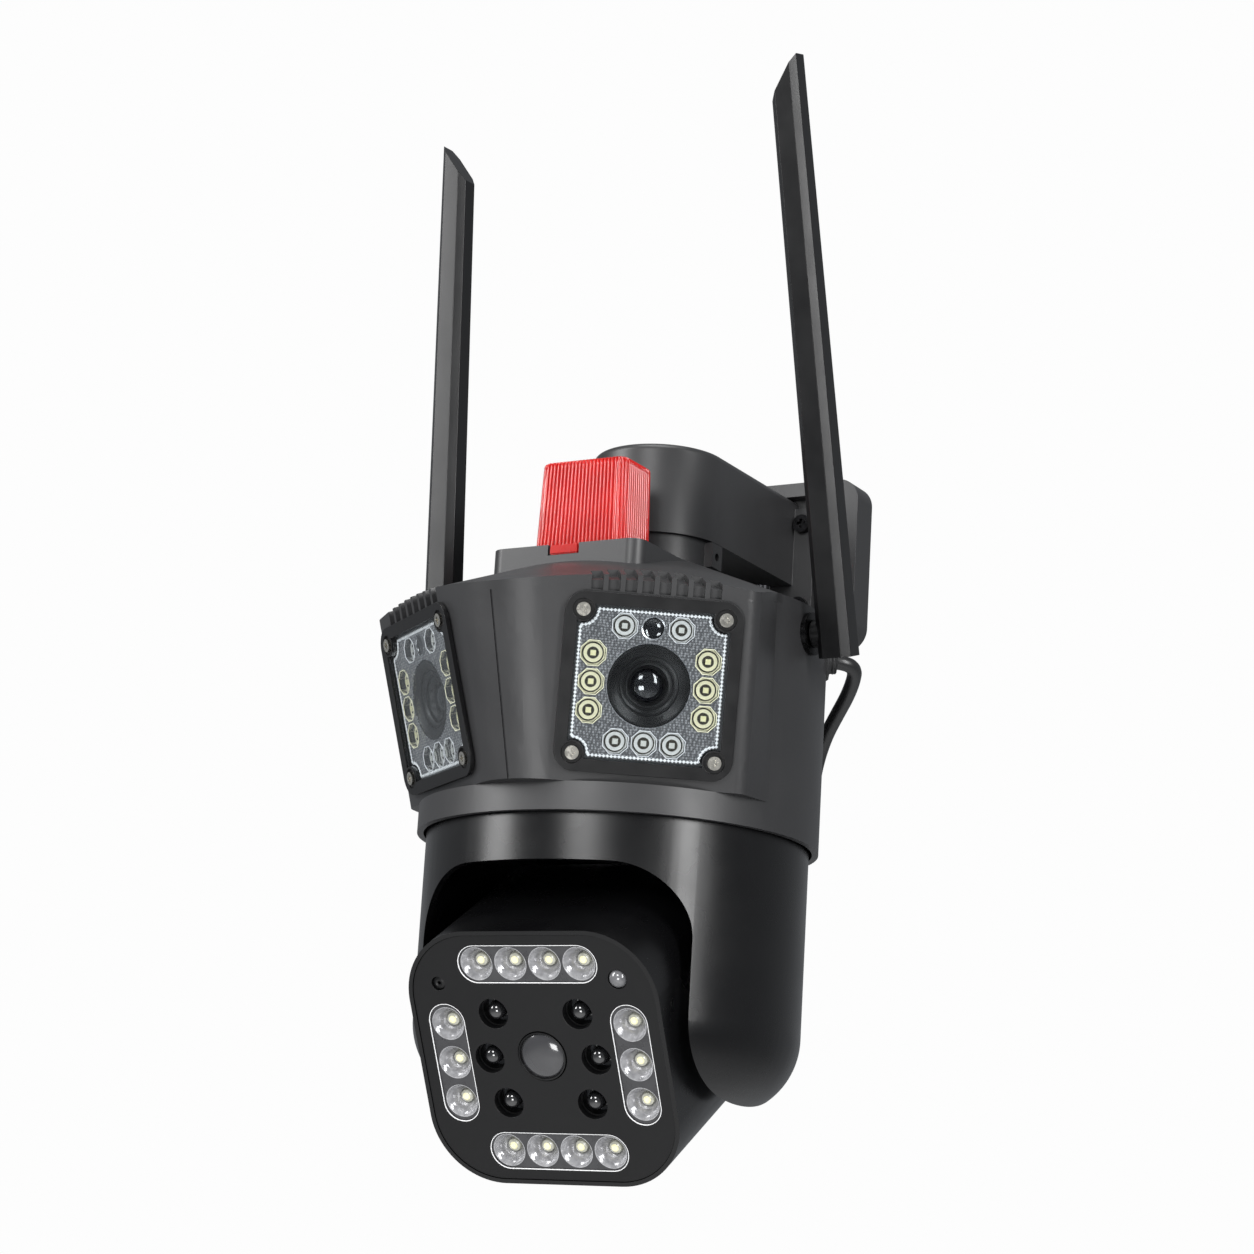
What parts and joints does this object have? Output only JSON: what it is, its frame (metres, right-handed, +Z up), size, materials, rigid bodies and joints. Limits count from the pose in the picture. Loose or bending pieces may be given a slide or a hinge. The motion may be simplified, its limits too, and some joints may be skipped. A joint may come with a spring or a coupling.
{
  "type": "security camera",
  "caption": "Wall security camera: fixed housing with angled camera bays, red strobe and paddle antennas, over a pan and tilt head with lamps.",
  "frame": {"origin": "centre of the wall plate's back face, on the wall plane", "axes": "+Z up, the wall is the XZ plane and the camera looks along -Y"},
  "size_m": [0.163, 0.1712, 0.3658],
  "materials": {
    "satin_abs": "satin moulded ABS",
    "black_abs": "smooth moulded ABS",
    "face_black": "matt moulded plate",
    "antenna_rubber": "satin over-moulded",
    "gasket_rubber": "matt",
    "red_lens": "translucent red, fluted",
    "clear_window": "clear polycarbonate",
    "clear_lens": "clear LED lens",
    "lens_glass": "coated glass",
    "barrel_black": "satin black lens barrel",
    "board_green": "solder-masked board",
    "board_dark": "textured dark mask",
    "led_die": "phosphor",
    "reflector": "vacuum metallised",
    "ir_led": "smoked epoxy",
    "nickel": "nickel plated",
    "steel": "zinc plated",
    "brass": "plain",
    "nylon": "natural acetal",
    "cable_pvc": "PVC jacket",
    "sensor": "dark"
  },
  "bodies": {
    "housing": {"wall_plate": "satin_abs", "bracket_arm": "satin_abs", "bracket_screws": "steel", "turret_screws": "steel", "upper_housing": "satin_abs", "top_cover": "satin_abs", "cover_screws": "steel", "left_window_gasket": "gasket_rubber", "right_window_gasket": "gasket_rubber", "left_window": "clear_window", "right_window": "clear_window", "left_lens_barrel": "barrel_black", "right_lens_barrel": "barrel_black", "antenna_jacks": "nickel", "bay_led_boards": "board_dark", "bay_led_lenses": "clear_lens", "bay_lens_glasses": "lens_glass", "bay_sensor_boards": "board_green", "bay_led_dies": "led_die", "bay_light_sensors": "sensor", "window_screws": "nickel", "strobe_lens": "red_lens", "strobe_board": "board_green", "strobe_leds": "red_lens", "main_board": "board_green", "board_standoffs": "brass", "board_screws": "steel", "speaker": "sensor", "motor_bracket": "steel", "pan_motor": "steel", "cable_gland": "gasket_rubber", "cable_lead": "cable_pvc", "cable_coil": "cable_pvc", "coil_tie": "cable_pvc", "power_plug": "cable_pvc"},
    "yoke": {"yoke_shell": "black_abs", "tilt_axles": "steel", "pan_gear": "nylon", "neck_clip": "steel", "tilt_gear": "nylon"},
    "head": {"head_shell": "black_abs", "card_hatch": "black_abs", "hatch_screws": "steel", "head_face": "face_black", "head_reflectors": "reflector", "head_led_board": "board_green", "head_led_dies": "led_die", "head_ir_leds": "ir_led", "head_light_sensor": "clear_lens", "head_microphone": "sensor", "head_lens_barrel": "barrel_black", "head_lens_glass": "lens_glass", "head_sensor_board": "board_green", "tilt_motor": "steel", "tilt_bushes": "nylon"},
    "left_antenna": {"left_antenna": "antenna_rubber"},
    "right_antenna": {"right_antenna": "antenna_rubber"},
    "pan_pinion": {"pan_pinion": "nylon"},
    "tilt_pinion": {"tilt_pinion": "nylon"}
  },
  "joints": [
    {"name": "pan", "type": "hinge", "parent": "housing", "child": "yoke", "pos_m": [0, -0.082, -0.113], "axis": [0, 0, 1], "range_deg": [-175, 175]},
    {"name": "tilt", "type": "hinge", "parent": "yoke", "child": "head", "pos_m": [0, -0.082, -0.161], "axis": [0.9967, 0.0814, 0], "range_deg": [-20, 60]},
    {"name": "pan_pinion_spin", "type": "hinge", "parent": "housing", "child": "pan_pinion", "pos_m": [0, -0.04765, -0.095], "axis": [0, 0, 1], "range_deg": [-1015, 1015]},
    {"name": "tilt_pinion_spin", "type": "hinge", "parent": "head", "child": "tilt_pinion", "pos_m": [-0.00151, -0.06353, -0.15039], "axis": [0.9967, 0.0814, 0], "range_deg": [-64, 192]},
    {"name": "left_antenna_swivel", "type": "hinge", "parent": "housing", "child": "left_antenna", "pos_m": [-0.0757, -0.08, -0.044], "axis": [1, 0, 0], "range_deg": [-22, 56]},
    {"name": "right_antenna_swivel", "type": "hinge", "parent": "housing", "child": "right_antenna", "pos_m": [0.0757, -0.08, -0.044], "axis": [1, 0, 0], "range_deg": [-36, 42]}
  ],
  "couplings": [
    {"joint": "pan_pinion_spin", "follows": "pan", "ratio": -5.8},
    {"joint": "tilt_pinion_spin", "follows": "tilt", "ratio": 3.2}
  ]
}
